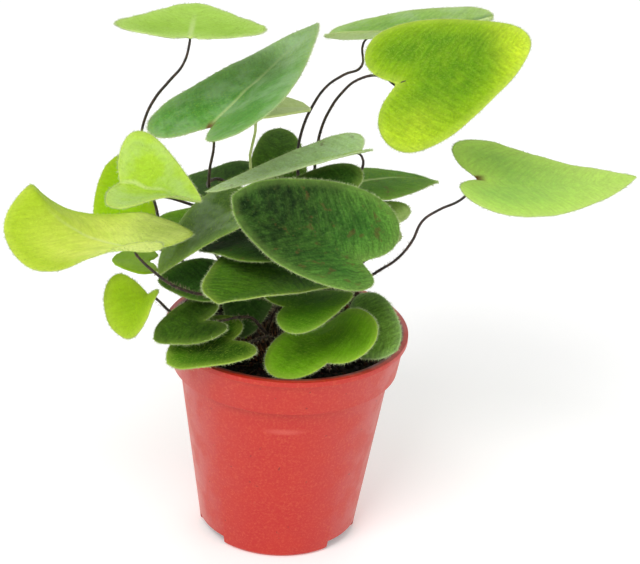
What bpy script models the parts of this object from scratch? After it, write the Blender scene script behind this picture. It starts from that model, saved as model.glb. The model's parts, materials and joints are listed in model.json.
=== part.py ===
"""A heart fern in its small nursery pot.

Each frond is a wiry dark stalk and one heart-shaped blade. The stalks stand in plain holes in a
scaly rhizome, which lies in a pit in the potting soil of a moulded plastic pot. On the two
smallest fronds the stalk and the blade are still one green piece.

Sizes below are in millimetres and angles in degrees. The model is built in metres, +Z up, with
its origin at the middle of the pot's flat underside and its front towards -Y.
"""

import math
import random
from dataclasses import dataclass

import bmesh
import bpy
from mathutils import Matrix, Vector, kdtree, noise
from mathutils.bvhtree import BVHTree

MM = 0.001
MERGE = 0.02 * MM
CLEARANCE = 0.3

# The pot, turned about the Z axis
POT_HEIGHT = 50.0
RIM_RADIUS = 27.5
RIM_THICK = 1.2
LIP_TOP_RADIUS = 26.8
LIP_FOOT_RADIUS = 25.6
LIP_HEIGHT = 8.8
STEP_HEIGHT = 0.8
WALL_TOP_RADIUS = 23.9
FOOT_RADIUS = 18.1
FOOT_ROUND = 0.7
WALL_THICK = 1.1
FLOOR_THICK = 1.3
POT_SEGMENTS = 40

# Drain notches through the foot of the wall
NOTCH_ANGLES = (91.0, 211.0, 331.0)
NOTCH_WIDTH = 12.0
NOTCH_HEIGHT = 2.3
NOTCH_DEPTH = 4.5

# The soil, which fills the pot almost to its lip
SOIL_LEVEL = 45.6
SOIL_RINGS = 9
CLUMP_HEIGHT = 1.1
CLUMP_PITCH = 5.5
BACK_MOUND = 3.0
BACK_MOUND_AT = (14.0, 15.0)
BACK_MOUND_REACH = 8.0

# The rhizome, a low scaly knob in the soil's middle
RHIZOME_AT = (-1.0, -1.0, 45.0)
RHIZOME_RADII = (11.5, 10.0, 4.2)
RHIZOME_SIDES = 24
RHIZOME_RINGS = 14
RHIZOME_PIT = 0.45
PIT_SIDES = 22
SCALE_RELIEF = 0.6
SCALE_ROWS = 11
SCALE_TURNS = 7

# Stalks
STALK_RADIUS = 0.38
STALK_FOOT = 43.6
STALK_COLLAR = 50.5
STALK_STEP = 5.5
STALK_BELOW_BLADE = 1.05
STALK_BEFORE_NOTCH = 0.2
YOUNG_STALK_BELOW = 0.12
HOLE_CLEARANCE = 0.32
HOLE_SIDES = 8

# Blades
BLADE_THICK = 0.65
LARGE_BLADE = 25.0
LARGE_GRID = (12, 3)
SMALL_GRID = (9, 2)
VEIN_START = 0.12
VEIN_SLANT = 1.25

# Room between centre lines and middle surfaces, and how a crowded stalk looks for its way
BLADE_ROOM = BLADE_THICK / 2 + STALK_RADIUS + CLEARANCE
OWN_BLADE_ROOM = 0.92
STALK_ROOM = 2 * STALK_RADIUS + CLEARANCE + 0.06
RIM_ROOM = STALK_RADIUS + CLEARANCE
ROUTE_SAMPLES = 8
ROUTE_TRIES = 6000
ROUTE_REACH = 12.0
SEEN_FREEDOM = 0.15
ROUTE_SEED = 8
TEST_STEP = 0.7

COLOURS = {
    "pot": (0.56, 0.045, 0.028),
    "soil": (0.012, 0.008, 0.006),
    "rhizome": (0.06, 0.03, 0.016),
    "stalk": (0.022, 0.012, 0.008),
    "bright": (0.40, 0.60, 0.035),
    "mid": (0.13, 0.32, 0.02),
    "dark": (0.02, 0.085, 0.018),
    "grey": (0.12, 0.27, 0.09),
}


@dataclass(frozen=True)
class Frond:
    """One leaf, placed by the notch between its lobes, where the stalk meets the blade."""

    name: str
    notch: tuple
    length: float
    half_width: float
    lobe: float
    # 0 for a blade that tapers from its shoulders, 1 for a blunt one
    fullness: float
    # The way the tip points, turned from +X towards +Y, and how far up
    heading: float
    pitch: float
    roll: float
    # The turn of the midrib from notch to tip, downwards if positive
    arch: float
    # How far each half rises over the midrib, at the notch and at the tip
    fold: tuple
    foot: tuple
    curl: float = -10.0
    twist: float = 0.0
    lean: float = 0.0
    tint: str = "mid"
    route: tuple = ()
    young: bool = False


FRONDS = (
    Frond(
        "high_left", (-23.5, -2.5, 117.5), 30, 16, 8, 0.3, 92, -11, 0, -15, (7, 7),
        foot=(-5.5, 2.2), curl=0, tint="bright",
        route=((-24, -2, 110.5), (-29, 1, 102.5), (-32.5, 3, 94), (-32.5, 4, 85.5), (-30, 3, 77),
               (-27.5, 2, 66.5)),
    ),
    Frond(
        "tall_left", (-18, -4, 98.5), 38.5, 18, 8, 0.2, 53, 22, -16, -3, (18, 10),
        foot=(-3, 2.5), curl=-19, twist=-4, tint="grey",
        route=((-17, -3, 94), (-17.5, 0, 86), (-17.5, 4, 79)),
    ),
    Frond(
        "top_back", (13.5, 26.5, 110), 30, 14.5, 8.5, 0.8, -2.5, 9, -7, -10, (8, 7.5),
        foot=(3, 5.5), curl=9.5, twist=12.5, lean=-5, tint="mid",
        route=((13.5, 23.5, 105), (6.5, 17, 103), (2, 13, 97.5), (0, 9, 90.5)),
    ),
    Frond(
        "top_right", (21, -2.5, 110), 30, 16.5, 6.5, 0.7, -8, 26, 42, 5, (1, 1),
        foot=(3, 2.5), curl=-20, twist=-20, tint="bright",
        route=((18, 1.5, 110), (14.5, 3, 109.5), (10, 5, 105.5), (6, 8, 97.5), (4.5, 10.5, 89.5)),
    ),
    Frond(
        "arrow_right", (40.5, 1.5, 87.5), 35, 15, 6, 0.2, 7, -10, 10, -26, (15, 0),
        foot=(5.5, 0), curl=-18, tint="bright",
        route=((37.5, 1, 83.5), (32, 0, 80.5), (29.5, -0.5, 80.5), (28, -1, 76), (24, -2, 69.5),
               (17, -2.5, 64)),
    ),
    Frond(
        "far_left", (-32.5, -18, 74.5), 28, 18, 10, 1, 168, -2, 3, -56, (13, -38),
        foot=(-4.2, -3), curl=0, twist=-23, lean=8, tint="bright",
        route=((-29.5, -17.5, 70.5), (-27, -16, 66.5), (-22, -13.5, 62.5), (-16.5, -10, 60.5)),
    ),
    Frond(
        "left_folded", (-36.5, -14.5, 88.5), 18.5, 12.5, 2, 0.1, 0, -15, 35, -10, (22, 43),
        foot=(-6.5, -0.3), curl=4, twist=-23, lean=-7, tint="bright",
    ),
    Frond(
        "left_narrow", (-37.5, 4, 70), 20, 7.5, 4, 0.6, 108, 43, -28, 22, (0, 8),
        foot=(-8, 3), curl=-24, tint="bright",
    ),
    Frond(
        "low_left_bright", (-30.5, -10, 60.5), 11, 9, 1, 0.9, 230, -44, 9, 13, (40, 22),
        foot=(-6.5, -5.6), curl=-2, twist=8, lean=-10, tint="bright",
        route=((-26, -11, 57.5), (-21, -10, 56)),
    ),
    Frond(
        "low_left_young", (-32, 2, 63), 8, 5, 2.5, 0.6, 185, 5, -10, 10, (5, 5),
        foot=(-9, -2), young=True,
    ),
    Frond(
        "front_dark", (15, -21, 76.5), 30.5, 16, 5, 0.5, 166, 20, -15, 0, (19, 14),
        foot=(5, -3), curl=-5, twist=-21, tint="dark",
    ),
    Frond(
        "long_grey", (14, 2.5, 92), 35, 8, 1.8, 0.5, 192.5, -10, 5.5, 8, (20, 1),
        foot=(0.5, 0.5), curl=-4.5, twist=4, tint="grey",
    ),
    Frond(
        "pointed_right", (12.5, 15, 79), 26, 13, 4, 0.4, 40, 0, -6, 19, (8, 8),
        foot=(5.5, 4), curl=-20,
    ),
    Frond(
        "right_behind", (22, 5, 74), 13, 8, 3.5, 0.5, 165, -5, -18, 8, (8, 8),
        foot=(7.5, 2), tint="dark",
    ),
    Frond(
        "long_diagonal", (-13, -1, 78), 22, 10.5, 5, 0.5, 203, -26, 1, 25, (11, 11),
        foot=(-2.5, -0.5), curl=-8, twist=5, tint="grey",
    ),
    Frond(
        "mid_ledge", (1.5, -7, 68.5), 28, 14.5, 6, 0.8, 236, -4, -2, -10, (17, 17),
        foot=(1.5, -5), curl=-22, twist=13, tint="dark",
    ),
    Frond(
        "mid_ledge_upper", (-1.5, -8, 74.5), 21, 13, 5, 0.4, 160, -5, -4, 25, (11, 11),
        foot=(0, -2.5), curl=-14, tint="dark",
    ),
    Frond(
        "lower_centre", (-0.5, -17, 63), 15.5, 11.5, 3, 0.6, 17, 5, 0, -5, (2, 2),
        foot=(3, -7.5), curl=-15, twist=-14,
    ),
    Frond(
        "bottom_centre", (9.5, -21, 52), 17, 13.5, 3, 0.6, 98, 18, -25, 32, (14, 25),
        foot=(5.5, -6), curl=0, tint="bright",
    ),
    Frond(
        "bottom_right", (14.5, -3.5, 54.5), 17, 8, 5, 0.8, -59, 5, 40, 17, (6, 6),
        foot=(8, -1.5), curl=-14, twist=6, tint="dark",
    ),
    Frond(
        "low_left_dark", (-17.5, -15, 57.5), 12, 8, 4, 0.6, 195, -12, -8, 14, (8, 8),
        foot=(-4.2, -6.8), curl=-8,
    ),
    Frond(
        "rim_left", (-11.5, -17, 54), 15, 9.5, 4, 0.8, 200, -6, -5, 20, (8, 8),
        foot=(-2.5, -8.6), curl=-5,
    ),
    Frond(
        "shaded_front", (-9, -3.5, 62.5), 13, 6.5, 3.5, 0.6, -100, -66, 0, 2, (0, 0),
        foot=(-1.5, -6), curl=-25, tint="dark",
    ),
    Frond(
        "upright_back", (-4, 14.5, 80), 17, 6.5, 3, 0.9, 92, 32, 0, 23, (2, 2),
        foot=(-1, 6.5), curl=-20, tint="dark",
    ),
    Frond(
        "back_left", (-15, 17, 76), 15, 10, 4, 0.5, 150, 0, -8, 20, (15, 0),
        foot=(-6, 5), tint="dark",
    ),
    Frond(
        "back_tip", (-9, 8, 98), 12.5, 7, 3, 0.6, 20, 6, 0, 15, (12, 12),
        foot=(-3.5, 5.5), curl=-6, tint="bright", young=True,
        route=((-9.5, 9, 91.5), (-10.5, 9, 85)),
    ),
    Frond(
        "heart_behind", (12.5, -4, 85), 15.5, 8.5, 2.5, 0.6, 178, -3, -25, 5, (6, 6),
        foot=(2.5, -1.8), tint="dark",
    ),
    Frond(
        "inner_left", (-17.5, -3.5, 61.5), 11.5, 8.5, 3.5, 0.5, 185, 4, -10, 10, (8, 8),
        foot=(-7.5, -3.2), tint="dark",
    ),
    Frond(
        "left_round", (-20.5, 14, 68), 12, 7, 3, 0.5, 160, 2, 0, 20, (12, 12),
        foot=(-9, 0.8), curl=-9, tint="dark",
    ),
)


def millimetres(point):
    """A point or size given in millimetres, in metres."""
    return Vector(point) * MM


def clear_scene():
    """Removes what the file holds before the model is made."""
    for item in list(bpy.data.objects):
        bpy.data.objects.remove(item, do_unlink=True)


def new_collection(name):
    """A collection of this name in the scene."""
    group = bpy.data.collections.new(name)
    bpy.context.scene.collection.children.link(group)
    return group


def material(name, colour, roughness):
    """A plain finish."""
    finish = bpy.data.materials.new(name)
    finish.use_nodes = True
    shader = finish.node_tree.nodes["Principled BSDF"]
    shader.inputs["Base Color"].default_value = (*COLOURS[colour], 1.0)
    shader.inputs["Roughness"].default_value = roughness
    shader.inputs["Metallic"].default_value = 0.0
    return finish


def mesh_object(name, mesh, group, finish=None):
    """An object for a mesh, in its collection and with its finish."""
    item = bpy.data.objects.new(name, mesh)
    group.objects.link(item)
    if finish is not None:
        mesh.materials.clear()
        mesh.materials.append(finish)
    return item


def from_bmesh(name, shape, group, finish=None):
    """An object for a bmesh, which is then freed."""
    mesh = bpy.data.meshes.new(name)
    shape.to_mesh(mesh)
    shape.free()
    return mesh_object(name, mesh, group, finish)


def as_cutter(item):
    """Marks an object that only cuts others."""
    item.hide_render = True
    item.display_type = "WIRE"
    return item


def cut(item, cutter):
    """Takes a cutter's shape out of an object."""
    boolean = item.modifiers.new(cutter.name, "BOOLEAN")
    boolean.operation = "DIFFERENCE"
    boolean.solver = "EXACT"
    boolean.object = cutter


def evaluated_mesh(item):
    """A new mesh of an object as its modifiers or its curve make it, with loose caps welded."""
    bpy.context.view_layer.update()
    graph = bpy.context.evaluated_depsgraph_get()
    mesh = bpy.data.meshes.new_from_object(item.evaluated_get(graph))
    shape = bmesh.new()
    shape.from_mesh(mesh)
    bmesh.ops.remove_doubles(shape, verts=shape.verts[:], dist=MERGE)
    shape.to_mesh(mesh)
    shape.free()
    return mesh


def turned(name, profile, group, finish=None):
    """A profile of (radius, height) points turned about the Z axis."""
    shape = bmesh.new()
    points = [shape.verts.new(millimetres((radius, 0.0, height))) for radius, height in profile]
    for start, end in zip(points, points[1:]):
        shape.edges.new((start, end))
    item = from_bmesh(name, shape, group, finish)
    screw = item.modifiers.new("turn", "SCREW")
    screw.axis = "Z"
    screw.steps = POT_SEGMENTS
    screw.render_steps = POT_SEGMENTS
    screw.use_merge_vertices = True
    screw.merge_threshold = MERGE
    return item


def pot_inner_profile(gap):
    """The pot's inner side from the middle of its floor up to its rim, moved inwards by a gap."""
    lip_foot = POT_HEIGHT - LIP_HEIGHT
    return [
        (0.0, FLOOR_THICK + gap),
        (FOOT_RADIUS - WALL_THICK - gap, FLOOR_THICK + gap),
        (WALL_TOP_RADIUS - WALL_THICK - gap, lip_foot - STEP_HEIGHT + WALL_THICK + gap),
        (LIP_FOOT_RADIUS - WALL_THICK - gap, lip_foot + WALL_THICK + gap),
        (LIP_TOP_RADIUS - WALL_THICK - gap, POT_HEIGHT),
    ]


def build_pot(group, cutters):
    """The moulded pot: a flat floor, a tapering wall, an upright lip band and a rim bead."""
    rim_under = POT_HEIGHT - RIM_THICK
    lip_foot = POT_HEIGHT - LIP_HEIGHT
    profile = pot_inner_profile(0.0) + [
        (RIM_RADIUS, POT_HEIGHT),
        (RIM_RADIUS, rim_under),
        (LIP_TOP_RADIUS, rim_under),
        (LIP_FOOT_RADIUS, lip_foot),
        (WALL_TOP_RADIUS, lip_foot - STEP_HEIGHT),
        (FOOT_RADIUS, FOOT_ROUND),
        (FOOT_RADIUS - FOOT_ROUND, 0.0),
        (0.0, 0.0),
    ]
    pot = turned("pot", profile, group, material("pot plastic", "pot", 0.45))
    notches = bmesh.new()
    reach = NOTCH_DEPTH * 2
    for angle in NOTCH_ANGLES:
        place = (
            Matrix.Rotation(math.radians(angle), 4, "Z")
            @ Matrix.Translation(millimetres((FOOT_RADIUS, 0.0, 0.0)))
            @ Matrix.Diagonal((*millimetres((reach, NOTCH_WIDTH, NOTCH_HEIGHT * 2)), 1.0))
        )
        bmesh.ops.create_cube(notches, size=1.0, matrix=place)
    cut(pot, as_cutter(from_bmesh("drain_notches", notches, cutters)))


def soil_lift(x, y):
    """How far the soil stands over its level at a place: clumps, and a mound at the back right."""
    place = Vector((x, y, 0.0)) / CLUMP_PITCH
    clumps = noise.noise(place) + 0.5 * noise.noise(place * 2.3)
    off = (Vector((x, y)) - Vector(BACK_MOUND_AT)).length / BACK_MOUND_REACH
    return CLUMP_HEIGHT * clumps + BACK_MOUND * math.exp(-off * off)


def build_soil(group, cutters):
    """The soil: it fills the pot, its top is lumpy, and the rhizome lies in a pit in it."""
    inner = pot_inner_profile(CLEARANCE)
    foot_radius, foot_height = inner[1]
    lip_radius, lip_height = inner[3]
    rise = (SOIL_LEVEL - lip_height) / (POT_HEIGHT - lip_height)
    edge = lip_radius + (inner[4][0] - lip_radius) * rise
    rings = [(edge * ring / SOIL_RINGS, SOIL_LEVEL) for ring in range(SOIL_RINGS + 1)]
    profile = rings + [inner[3], inner[2], (foot_radius, foot_height), (0.0, foot_height)]
    turning = turned("soil_turning", profile, cutters)
    mesh = evaluated_mesh(turning)
    bpy.data.objects.remove(turning, do_unlink=True)
    for vertex in mesh.vertices:
        if vertex.co.z > (SOIL_LEVEL - CLEARANCE) * MM:
            vertex.co.z += soil_lift(vertex.co.x / MM, vertex.co.y / MM) * MM
    mesh.name = "soil"
    soil = mesh_object("soil", mesh, group, material("peaty soil", "soil", 0.95))
    pit = bmesh.new()
    bmesh.ops.create_uvsphere(pit, u_segments=PIT_SIDES, v_segments=RHIZOME_RINGS, radius=1.0)
    grown = [radius + RHIZOME_PIT for radius in RHIZOME_RADII]
    bmesh.ops.transform(pit, verts=pit.verts[:], matrix=rhizome_place(grown))
    cut(soil, as_cutter(from_bmesh("rhizome_pit", pit, cutters)))


def rhizome_place(radii):
    """Stretches a unit ball to these radii and puts it where the rhizome lies."""
    stretch = Matrix.Diagonal((*millimetres(radii), 1.0))
    return Matrix.Translation(millimetres(RHIZOME_AT)) @ stretch


def build_rhizome(group, cutters):
    """The rhizome: a knob with rows of scales pressed into it, and a plain hole for each stalk."""
    knob = bmesh.new()
    bmesh.ops.create_uvsphere(knob, u_segments=RHIZOME_SIDES, v_segments=RHIZOME_RINGS, radius=1.0)
    for vertex in knob.verts:
        around = math.atan2(vertex.co.y, vertex.co.x)
        down = math.acos(max(-1.0, min(1.0, vertex.co.z)))
        rows = math.sin(SCALE_ROWS * down + SCALE_TURNS * around)
        depth = SCALE_RELIEF * 0.5 * (1.0 + rows) * math.sin(down)
        vertex.co *= 1.0 - depth / min(RHIZOME_RADII[:2])
    bmesh.ops.transform(knob, verts=knob.verts[:], matrix=rhizome_place(RHIZOME_RADII))
    rhizome = from_bmesh("rhizome", knob, group, material("scaly rhizome", "rhizome", 0.9))
    holes = bmesh.new()
    radius = (STALK_RADIUS + HOLE_CLEARANCE) / math.cos(math.pi / HOLE_SIDES)
    bottom = STALK_FOOT - CLEARANCE
    depth = POT_HEIGHT - bottom
    for frond in FRONDS:
        middle = (*frond.foot, bottom + depth / 2)
        bmesh.ops.create_cone(
            holes, cap_ends=True, segments=HOLE_SIDES, radius1=radius * MM, radius2=radius * MM,
            depth=depth * MM, matrix=Matrix.Translation(millimetres(middle)),
        )
    cut(rhizome, as_cutter(from_bmesh("stalk_holes", holes, cutters)))


def smooth_through(points, per_span, power):
    """A Catmull-Rom curve through the points. Power 0 spaces its knots evenly, 0.5 by distance."""
    ends = [2 * points[0] - points[1], *points, 2 * points[-1] - points[-2]]
    curve = []
    for before, start, end, after in zip(ends, ends[1:], ends[2:], ends[3:]):
        at_start = (start - before).length ** power
        at_end = at_start + (end - start).length ** power
        at_after = at_end + (after - end).length ** power
        for step in range(per_span):
            here = at_start + (at_end - at_start) * step / per_span
            first = before.lerp(start, here / at_start)
            second = start.lerp(end, (here - at_start) / (at_end - at_start))
            third = end.lerp(after, (here - at_end) / (at_after - at_end))
            left = first.lerp(second, here / at_end)
            right = second.lerp(third, (here - at_start) / (at_after - at_start))
            curve.append(left.lerp(right, (here - at_start) / (at_end - at_start)))
    curve.append(points[-1].copy())
    return curve


def evenly_spaced(points, count):
    """This many points at even distances along a line of points, with both of its ends."""
    along = [0.0]
    for start, end in zip(points, points[1:]):
        along.append(along[-1] + (end - start).length)
    spaced = []
    span = 0
    for index in range(count):
        target = along[-1] * index / (count - 1)
        while span < len(points) - 2 and along[span + 1] < target:
            span += 1
        part = (target - along[span]) / (along[span + 1] - along[span])
        spaced.append(points[span].lerp(points[span + 1], part))
    return spaced


def half_outline(frond, count):
    """One half's margin, from the notch round the lobe and along the side to the tip."""
    length, width, lobe, full = frond.length, frond.half_width, frond.lobe, frond.fullness
    knots = (
        (0.0, 0.0),
        (-0.55 * lobe, 0.16 * width),
        (-lobe, 0.50 * width),
        (-0.55 * lobe, 0.88 * width),
        (0.12 * length, width),
        (0.40 * length, (0.80 + 0.16 * full) * width),
        (0.70 * length, (0.42 + 0.34 * full) * width),
        (0.90 * length, (0.14 + 0.36 * full) * width),
        (length, 0.0),
    )
    return evenly_spaced(smooth_through([Vector(knot) for knot in knots], 24, 0.0), count)


def blade_axes(frond):
    """The blade's own directions: along the midrib, to its left, and out of its upper face."""
    heading, pitch, roll = (math.radians(turn) for turn in (frond.heading, frond.pitch, frond.roll))
    along = Vector((
        math.cos(pitch) * math.cos(heading),
        math.cos(pitch) * math.sin(heading),
        math.sin(pitch),
    ))
    level = Vector((-math.sin(heading), math.cos(heading), 0.0))
    above = along.cross(level)
    left = level * math.cos(roll) + above * math.sin(roll)
    up = above * math.cos(roll) - level * math.sin(roll)
    return along, left, up


def shaped(frond, x, y):
    """Where a point of the flat blade goes once it is folded, curled, twisted and arched."""
    side = 1.0 if y > 0.0 else -1.0
    from_midrib = abs(y)
    ease = max(0.0, min(1.0, x / frond.length))
    ease = ease * ease * (3.0 - 2.0 * ease)
    fold = frond.fold[0] + (frond.fold[1] - frond.fold[0]) * ease
    slope = math.radians(fold) + side * math.radians(frond.lean)
    bend = math.radians(frond.curl) / frond.half_width
    if bend:
        across = (math.sin(slope + bend * from_midrib) - math.sin(slope)) / bend
        rise = (math.cos(slope) - math.cos(slope + bend * from_midrib)) / bend
    else:
        across = from_midrib * math.cos(slope)
        rise = from_midrib * math.sin(slope)
    across *= side
    turn = math.radians(frond.twist) * max(-0.4, min(1.0, x / frond.length))
    left = across * math.cos(turn) - rise * math.sin(turn)
    up = across * math.sin(turn) + rise * math.cos(turn)
    if not frond.arch:
        return x, left, up
    arch = math.radians(frond.arch)
    radius = frond.length / arch
    angle = arch * x / frond.length
    along = (radius + up) * math.sin(angle)
    return along, left, (radius + up) * math.cos(angle) - radius


def blade_surface(frond):
    """The blade's middle surface: a grid whose rows run from the midrib out to the margin."""
    rows, half_columns = LARGE_GRID if frond.length > LARGE_BLADE else SMALL_GRID
    margin = half_outline(frond, rows + 1)
    axes = blade_axes(frond)
    surface = bmesh.new()
    bmesh.ops.create_grid(surface, x_segments=rows, y_segments=2 * half_columns, size=1.0)
    for vertex in surface.verts:
        row = round((vertex.co.x + 1.0) / 2.0 * rows)
        column = round(vertex.co.y * half_columns)
        part = row / rows
        vein_foot = frond.length * max(0.0, (part - VEIN_START) / (1.0 - VEIN_START)) ** VEIN_SLANT
        out = abs(column) / half_columns
        x = vein_foot + (margin[row].x - vein_foot) * out
        y = math.copysign(margin[row].y * out, column)
        place = Vector(frond.notch)
        for axis, distance in zip(axes, shaped(frond, x, y)):
            place += axis * distance
        vertex.co = place * MM
    bmesh.ops.remove_doubles(surface, verts=surface.verts[:], dist=MERGE)
    bmesh.ops.triangulate(surface, faces=surface.faces[:])
    return surface


def build_blade(name, surface, group, finish):
    """A blade: a wall on both sides of its middle surface."""
    blade = from_bmesh(name, surface, group, finish)
    wall = blade.modifiers.new("thickness", "SOLIDIFY")
    wall.thickness = BLADE_THICK * MM
    wall.offset = 0.0
    wall.use_quality_normals = True
    return blade


def stalk_line(frond, bends):
    """The stalk's points: upright out of its hole, and then smoothly to its blade's notch.

    The bends are a bow, a sway and a ripple, waves of one, two and three half-turns along it.
    """
    along, left, up = blade_axes(frond)
    below = YOUNG_STALK_BELOW if frond.young else STALK_BELOW_BLADE
    end = Vector(frond.notch) - up * below - along * STALK_BEFORE_NOTCH
    foot = Vector((*frond.foot, STALK_FOOT))
    collar = Vector((*frond.foot, STALK_COLLAR))
    middle = set_route(frond, collar) if frond.route else free_route(collar, end, up)
    bent = []
    for index, (point, freedom) in enumerate(middle):
        turn = math.pi * (index + 1) / (len(middle) + 1)
        waves = [bend * math.sin(turn * (number + 1)) for number, bend in enumerate(bends)]
        bent.append(point + freedom * sum(waves, Vector((0.0, 0.0, 0.0))))
    curve = smooth_through([foot, collar, *bent, end], ROUTE_SAMPLES, 0.5)[ROUTE_SAMPLES:]
    length = sum((after - before).length for before, after in zip(curve, curve[1:]))
    return [foot, *evenly_spaced(curve, max(6, round(length / STALK_STEP) + 1))]


def set_route(frond, collar):
    """The points that a stalk is seen to pass, and two free ones below them."""
    seen = [Vector(point) for point in reversed(frond.route)]
    free = [(collar.lerp(seen[0], part), 1.0) for part in (0.35, 0.7)]
    return free + [(point, SEEN_FREEDOM) for point in seen]


def free_route(collar, end, up):
    """Three points of a stalk that rises from its collar and bends over to meet its blade."""
    height = (end - collar).length
    outwards = Vector((end.x - collar.x, end.y - collar.y, 0.0)).normalized()
    if end.z - collar.z < 8.0:
        rise = collar + Vector((0.0, 0.0, 0.25 * height))
        arrive = end - (0.6 * up + 0.2 * outwards) * 0.3 * height
    else:
        rise = collar + Vector((0.0, 0.0, 0.4 * height))
        arrive = end - (0.55 * up + 0.45 * outwards + Vector((0, 0, 0.5))).normalized() * 0.35 * height
    points = []
    for part in (0.25, 0.5, 0.75):
        rest = 1.0 - part
        point = rest**3 * collar + 3 * rest**2 * part * rise + 3 * rest * part**2 * arrive
        points.append((point + part**3 * end, 1.0))
    return points


def test_points(line):
    """Points close together along a line, from its collar on."""
    points = []
    for start, end in zip(line[1:], line[2:]):
        count = math.ceil((end - start).length / TEST_STEP)
        points += [start.lerp(end, step / count) for step in range(count)]
    points.append(line[-1])
    return points


def missing_room(line, own, blades, owners, stalks):
    """How much room a stalk's line lacks at its worst place. 0 if it is clear of everything."""
    worst = 0.0
    for point in test_points(line):
        if point.z < STALK_COLLAR - CLEARANCE:
            worst = max(worst, STALK_COLLAR - point.z)
        if math.hypot(point.x, point.y) > LIP_FOOT_RADIUS - WALL_THICK - RIM_ROOM:
            worst = max(worst, POT_HEIGHT + RIM_ROOM - point.z)
        for _, _, face, distance in blades.find_nearest_range(point, BLADE_ROOM):
            if owners[face] != own:
                worst = max(worst, BLADE_ROOM - distance)
            elif not FRONDS[own].young:
                worst = max(worst, OWN_BLADE_ROOM - distance)
        for _, _, distance in stalks.find_range(point, STALK_ROOM):
            worst = max(worst, STALK_ROOM - distance)
    return worst


def clear_line(frond, own, blades, owners, stalks, draw):
    """The stalk's line, bowed and swayed more and more from its free route until it is clear."""
    best = None
    least = math.inf
    for attempt in range(ROUTE_TRIES):
        reach = ROUTE_REACH * attempt / ROUTE_TRIES
        bends = [
            Vector([draw.uniform(-reach, reach) for _ in range(3)]) / (wave + 1) for wave in range(3)
        ]
        line = stalk_line(frond, bends)
        missing = missing_room(line, own, blades, owners, stalks)
        if missing < least:
            best = line
            least = missing
        if least == 0.0:
            break
    return best


def stalk_lines(surfaces):
    """A line for every stalk. Those with a route of their own come first, then the longest."""
    points = []
    faces = []
    owners = []
    for own, surface in enumerate(surfaces):
        first = len(points)
        points += [vertex.co / MM for vertex in surface.verts]
        faces += [[first + vertex.index for vertex in face.verts] for face in surface.faces]
        owners += [own] * len(surface.faces)
    blades = BVHTree.FromPolygons(points, faces)
    order = sorted(range(len(FRONDS)), key=lambda own: (not FRONDS[own].route, -FRONDS[own].notch[2]))
    draw = random.Random(ROUTE_SEED)
    lines = {}
    for own in order:
        passed = [point for line in lines.values() for point in [line[0], *test_points(line)]]
        passed += [Vector((*frond.foot, STALK_COLLAR)) for frond in FRONDS if frond is not FRONDS[own]]
        stalks = kdtree.KDTree(len(passed))
        for index, point in enumerate(passed):
            stalks.insert(point, index)
        stalks.balance()
        lines[own] = clear_line(FRONDS[own], own, blades, owners, stalks, draw)
    return lines


def build_stalk(name, line, group, finish):
    """A six-sided wire along its line, with closed ends."""
    curve = bpy.data.curves.new(name, "CURVE")
    curve.dimensions = "3D"
    curve.bevel_depth = STALK_RADIUS * MM
    curve.bevel_resolution = 1
    curve.use_fill_caps = True
    curve.twist_mode = "MINIMUM"
    spline = curve.splines.new("POLY")
    spline.points.add(len(line) - 1)
    for target, point in zip(spline.points, line):
        target.co = (*millimetres(point), 1.0)
    curve.materials.append(finish)
    stalk = bpy.data.objects.new(name, curve)
    group.objects.link(stalk)
    return stalk


def build_young_frond(name, surface, line, group, cutters, finish):
    """A young frond: its green stalk and its blade joined in one piece."""
    wire = build_stalk(name + "_wire", line, cutters, finish)
    stalk = mesh_object(name + "_stalk", evaluated_mesh(wire), cutters)
    bpy.data.objects.remove(wire, do_unlink=True)
    as_cutter(stalk)
    blade = build_blade(name, surface, group, finish)
    join = blade.modifiers.new("stalk", "BOOLEAN")
    join.operation = "UNION"
    join.solver = "EXACT"
    join.object = stalk


def build_fronds(group, cutters):
    """Every frond, from the middle surfaces of all blades to the stalks that pass them."""
    surfaces = [blade_surface(frond) for frond in FRONDS]
    for surface in surfaces:
        surface.verts.index_update()
    lines = stalk_lines(surfaces)
    for own, frond in enumerate(FRONDS):
        finish = material(f"{frond.name} leaf", frond.tint, 0.6)
        if frond.young:
            name = f"frond_{frond.name}"
            build_young_frond(name, surfaces[own], lines[own], group, cutters, finish)
            continue
        build_blade(f"blade_{frond.name}", surfaces[own], group, finish)
        bristly = material(f"{frond.name} stalk", "stalk", 0.8)
        build_stalk(f"stalk_{frond.name}", lines[own], group, bristly)


def main():
    """Makes the whole plant and its pot."""
    clear_scene()
    plant = new_collection("heart_fern")
    cutters = new_collection("cutters")
    build_pot(plant, cutters)
    build_soil(plant, cutters)
    build_rhizome(plant, cutters)
    build_fronds(plant, cutters)


main()
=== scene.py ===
"""The looks of a heart fern in its small plastic pot.

Each blade becomes a thin curved leaf with a sunken midrib, quilted veins and a fringe of hairs,
each stalk a smooth bristly wire, and the pot, soil and rhizome get their fine shapes. Everything
is placed by the pieces of the frame. Sizes are in metres, and the facts that a leaf's points carry
are in millimetres.
"""

import json
import math
import random

import bmesh
import bpy
import numpy as np
from mathutils import Matrix, Vector, kdtree, noise
from mathutils.bvhtree import BVHTree


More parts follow.
